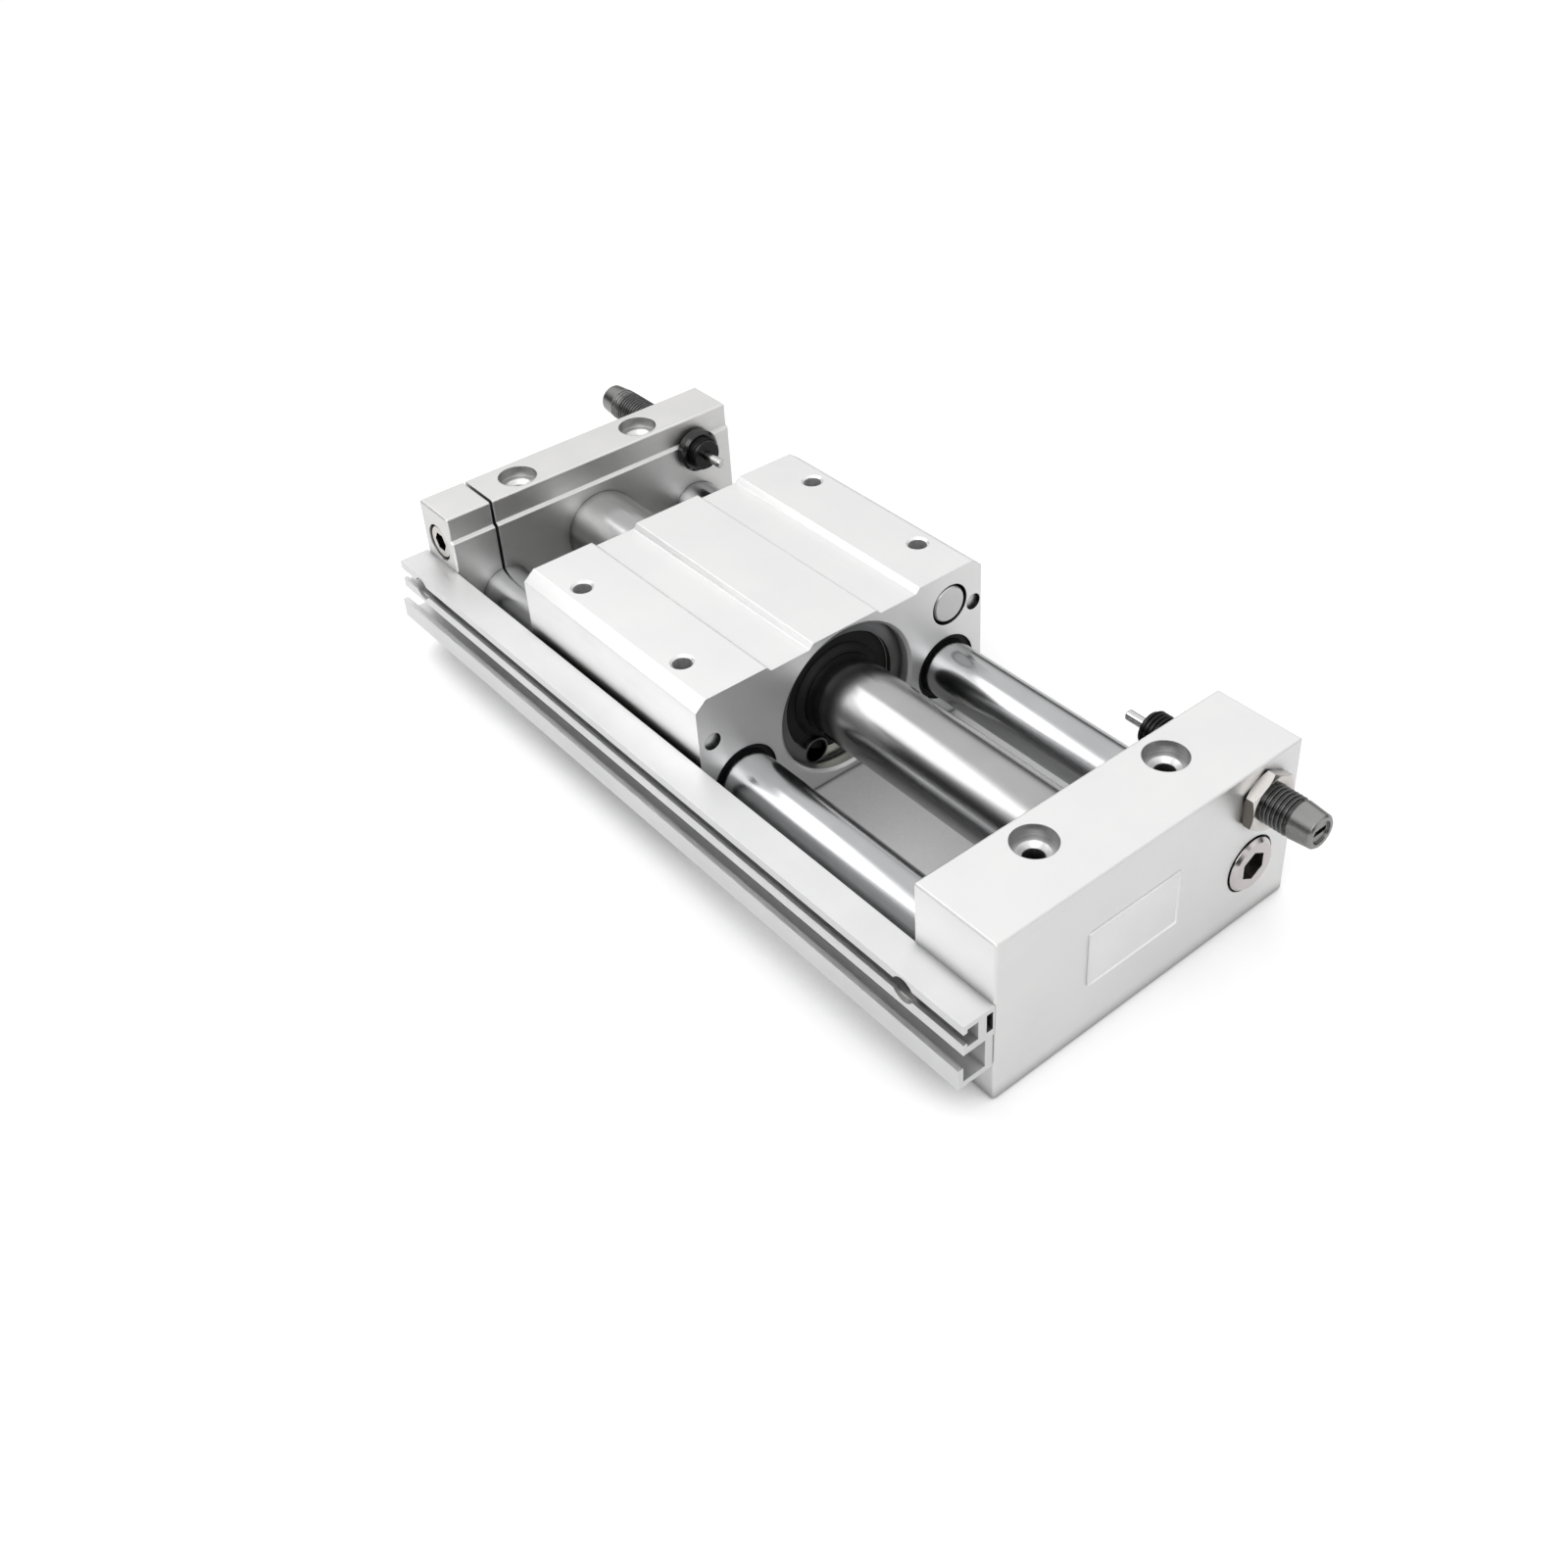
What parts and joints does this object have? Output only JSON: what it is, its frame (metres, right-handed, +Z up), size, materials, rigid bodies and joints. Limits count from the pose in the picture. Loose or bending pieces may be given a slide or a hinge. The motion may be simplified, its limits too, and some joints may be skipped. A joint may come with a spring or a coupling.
{
  "type": "magnetic rodless cylinder",
  "caption": "Magnetically coupled rodless air cylinder: a slider block on a tube and two guide shafts between end blocks, with end shock absorbers and a switch rail.",
  "frame": {"origin": "on the underside plane, at the centre of the four mounting holes of the end blocks", "axes": "+X along the stroke towards the thick port block, +Y across away from the switch rail, +Z up from the mounting plane"},
  "size_m": [0.276, 0.1063, 0.0466],
  "materials": {
    "anodised_aluminium": "satin clear anodised",
    "rail_aluminium": "matte anodised extrusion",
    "stainless_tube": "polished stainless steel",
    "chrome_shaft": "hard chrome plated",
    "nickel_steel": "nickel plated",
    "dark_steel": "black oxide",
    "plain_steel": "machined",
    "black_absorber": "black nitrided",
    "magnet": "nickel plated rare-earth magnet",
    "black_rubber": "matte",
    "bearing_plastic": "filled bearing plastic",
    "bearing_bronze": "oil-filled bronze",
    "black_plastic": "glossy",
    "olive_aluminium": "olive-grey conversion coat"
  },
  "bodies": {
    "base": {"absorber_body_clamp_end": "black_absorber", "absorber_body_port_end": "black_absorber", "absorber_lock_nuts": "nickel_steel", "absorber_stop_ring_clamp_end": "black_plastic", "absorber_stop_ring_port_end": "black_plastic", "clamp_end_block": "anodised_aluminium", "clamp_screw": "nickel_steel", "cross_passage_plug": "plain_steel", "cylinder_tube": "stainless_tube", "hollow_guide_shaft": "chrome_shaft", "passage_end_plug": "nickel_steel", "port_end_block": "anodised_aluminium", "rail_screws": "nickel_steel", "shaft_o_ring_clamp_end": "black_rubber", "shaft_o_ring_port_end": "black_rubber", "solid_guide_shaft": "chrome_shaft", "switch_rail": "rail_aluminium", "tube_bumper_clamp_end": "black_rubber", "tube_bumper_port_end": "black_rubber", "tube_o_ring_clamp_end": "black_rubber", "tube_o_ring_port_end": "black_rubber"},
    "carriage": {"bearing_holder_clamp_end": "anodised_aluminium", "bearing_holder_port_end": "anodised_aluminium", "outer_magnets": "magnet", "outer_yokes": "plain_steel", "retaining_ring_clamp_end": "dark_steel", "retaining_ring_port_end": "dark_steel", "scraper_plate_clamp_end": "olive_aluminium", "scraper_plate_port_end": "olive_aluminium", "shaft_wipers": "black_rubber", "slide_bushing_open_side_clamp_end": "bearing_bronze", "slide_bushing_open_side_port_end": "bearing_bronze", "slide_bushing_rail_side_clamp_end": "bearing_bronze", "slide_bushing_rail_side_port_end": "bearing_bronze", "slider_block": "anodised_aluminium", "strike_disc_clamp_end": "plain_steel", "strike_disc_port_end": "plain_steel", "switch_magnets": "magnet", "tube_scraper_clamp_end": "black_rubber", "tube_scraper_port_end": "black_rubber", "tube_wear_ring_clamp_end": "bearing_plastic", "tube_wear_ring_port_end": "bearing_plastic"},
    "piston": {"inner_magnets": "magnet", "inner_yokes": "plain_steel", "piston_clamp_end": "anodised_aluminium", "piston_nuts": "plain_steel", "piston_port_end": "anodised_aluminium", "piston_seal_clamp_end": "black_rubber", "piston_seal_port_end": "black_rubber", "piston_shaft": "plain_steel", "piston_wear_ring_clamp_end": "bearing_plastic", "piston_wear_ring_port_end": "bearing_plastic"},
    "rod_port_end": {"absorber_rod_port_end": "plain_steel"},
    "rod_clamp_end": {"absorber_rod_clamp_end": "plain_steel"}
  },
  "joints": [
    {"name": "carriage_slide", "type": "slide", "parent": "base", "child": "carriage", "axis": [1, 0, 0], "range_m": [-0.0232, 0.0622]},
    {"name": "piston_slide", "type": "slide", "parent": "base", "child": "piston", "axis": [1, 0, 0], "range_m": [-0.0232, 0.0622]},
    {"name": "absorber_rod_slide_port_end", "type": "slide", "parent": "base", "child": "rod_port_end", "axis": [1, 0, 0], "range_m": [0, 0.007], "stiffness_N_per_m": 377, "springref_m": -0.0112},
    {"name": "absorber_rod_slide_clamp_end", "type": "slide", "parent": "base", "child": "rod_clamp_end", "axis": [-1, 0, 0], "range_m": [0, 0.007], "stiffness_N_per_m": 377, "springref_m": -0.0112}
  ],
  "couplings": [
    {"joint": "piston_slide", "follows": "carriage_slide", "ratio": 1}
  ]
}
